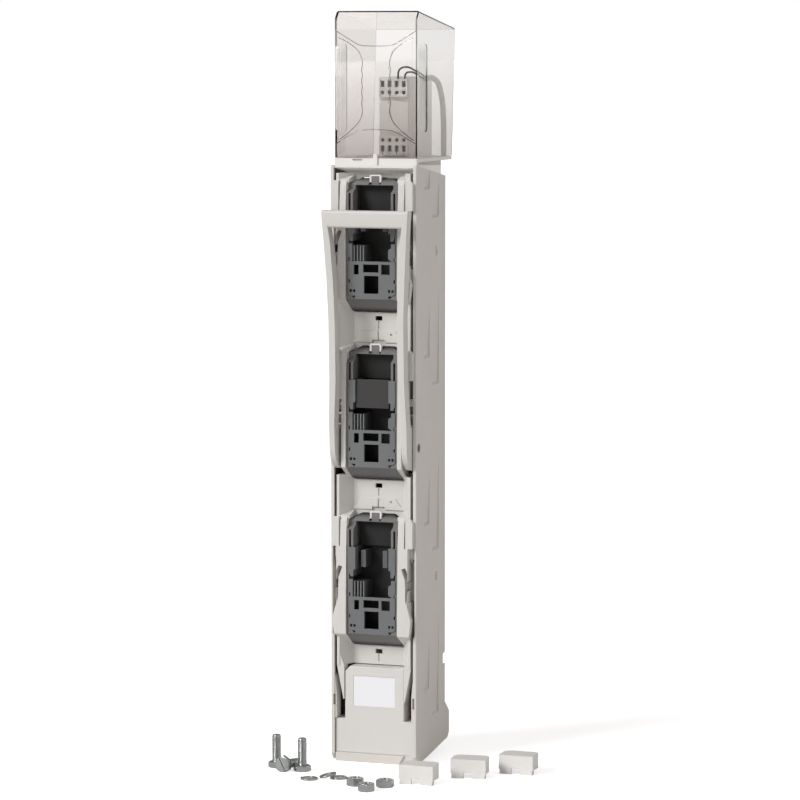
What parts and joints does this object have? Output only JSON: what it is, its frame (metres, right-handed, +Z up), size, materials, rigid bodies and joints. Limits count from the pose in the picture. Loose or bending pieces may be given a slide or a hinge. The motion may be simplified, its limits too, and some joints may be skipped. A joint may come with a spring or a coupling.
{
  "type": "fuse switch disconnector",
  "caption": "Vertical strip-type fuse switch disconnector for knife-blade fuse-links, with a U handle that racks the fuse carriage out of its casing and a clear terminal cover.",
  "frame": {"origin": "centre of the middle busbar bolt hole, on the plane that meets the busbars", "axes": "+Z up along the strip, -Y out of the front, +X to the right seen from the front"},
  "size_m": [0.2901, 0.2869, 0.828],
  "materials": {
    "casing": "fine moulded texture",
    "panel": "fine moulded texture",
    "carriage": "fine moulded texture",
    "handle": "fine moulded texture",
    "ledge": "fine moulded texture",
    "card": "smooth card",
    "black": "fine moulded texture",
    "grid": "fine moulded texture",
    "catch": "smooth",
    "module": "smooth",
    "terminal": "smooth",
    "caps": "fine moulded texture",
    "clear": "clear polycarbonate",
    "cable": "sheath",
    "wire": "insulation",
    "porcelain": "glazed",
    "blade": "silver plated",
    "copper": "silver plated copper",
    "steel": "zinc plated"
  },
  "bodies": {
    "casing": {"aux_module": "module", "base_moulding": "casing", "black_wires": "wire", "bottom_end_cover": "casing", "busbar_contact_1": "copper", "busbar_contact_2": "copper", "busbar_contact_3": "copper", "cover_catch": "ledge", "jaw_springs": "steel", "label_card": "card", "label_panel": "panel", "lower_jaw_1": "copper", "lower_jaw_2": "copper", "lower_jaw_3": "copper", "lower_terminals": "terminal", "outgoing_bar_1": "copper", "outgoing_bar_2": "copper", "outgoing_bar_3": "copper", "pivot_pins": "steel", "sheathed_cable": "cable", "side_wall_left": "casing", "side_wall_right": "casing", "side_wall_screws": "steel", "spare_bolts": "steel", "spare_caps": "caps", "spare_nuts": "steel", "spare_washers": "steel", "terminal_bolts": "steel", "terminal_frame": "casing", "top_end_piece": "ledge", "upper_jaw_1": "copper", "upper_jaw_2": "copper", "upper_jaw_3": "copper", "upper_terminals": "terminal"},
    "carriage": {"front_carriage": "carriage", "drive_racks": "steel", "carrier_plate_2": "black", "fuse_carrier_1": "black", "window_grid_1": "grid", "fuse_body_1": "porcelain", "fuse_blades_1": "blade", "fuse_carrier_2": "black", "window_grid_2": "grid", "fuse_body_2": "porcelain", "fuse_blades_2": "blade", "fuse_carrier_3": "black", "window_grid_3": "grid", "fuse_body_3": "porcelain", "fuse_blades_3": "blade"},
    "handle": {"handle_frame": "handle", "drive_sectors": "steel"},
    "cover": {"clear_cover": "clear"},
    "catch_1_body": {"catch_1": "catch"},
    "catch_2_body": {"catch_2": "catch"},
    "catch_3_body": {"catch_3": "catch"}
  },
  "joints": [
    {"name": "handle_swing", "type": "hinge", "parent": "casing", "child": "handle", "pos_m": [0, -0.09, -0.035], "axis": [1, 0, 0], "range_deg": [0, 90]},
    {"name": "carriage_slide", "type": "slide", "parent": "casing", "child": "carriage", "axis": [0, -1, 0], "range_m": [0, 0.0565]},
    {"name": "cover_lift", "type": "slide", "parent": "casing", "child": "cover", "axis": [0, 0, 1], "range_m": [0, 0.15]},
    {"name": "catch_1_slide", "type": "slide", "parent": "carriage", "child": "catch_1_body", "axis": [0, 0, 1], "range_m": [0, 0.003], "stiffness_N_per_m": 400, "springref_m": -0.002},
    {"name": "catch_2_slide", "type": "slide", "parent": "carriage", "child": "catch_2_body", "axis": [0, 0, 1], "range_m": [0, 0.003], "stiffness_N_per_m": 400, "springref_m": -0.002},
    {"name": "catch_3_slide", "type": "slide", "parent": "carriage", "child": "catch_3_body", "axis": [0, 0, 1], "range_m": [0, 0.003], "stiffness_N_per_m": 400, "springref_m": -0.002}
  ],
  "couplings": [
    {"joint": "handle_swing", "follows": "carriage_slide", "rad_per_m": 27.778}
  ]
}
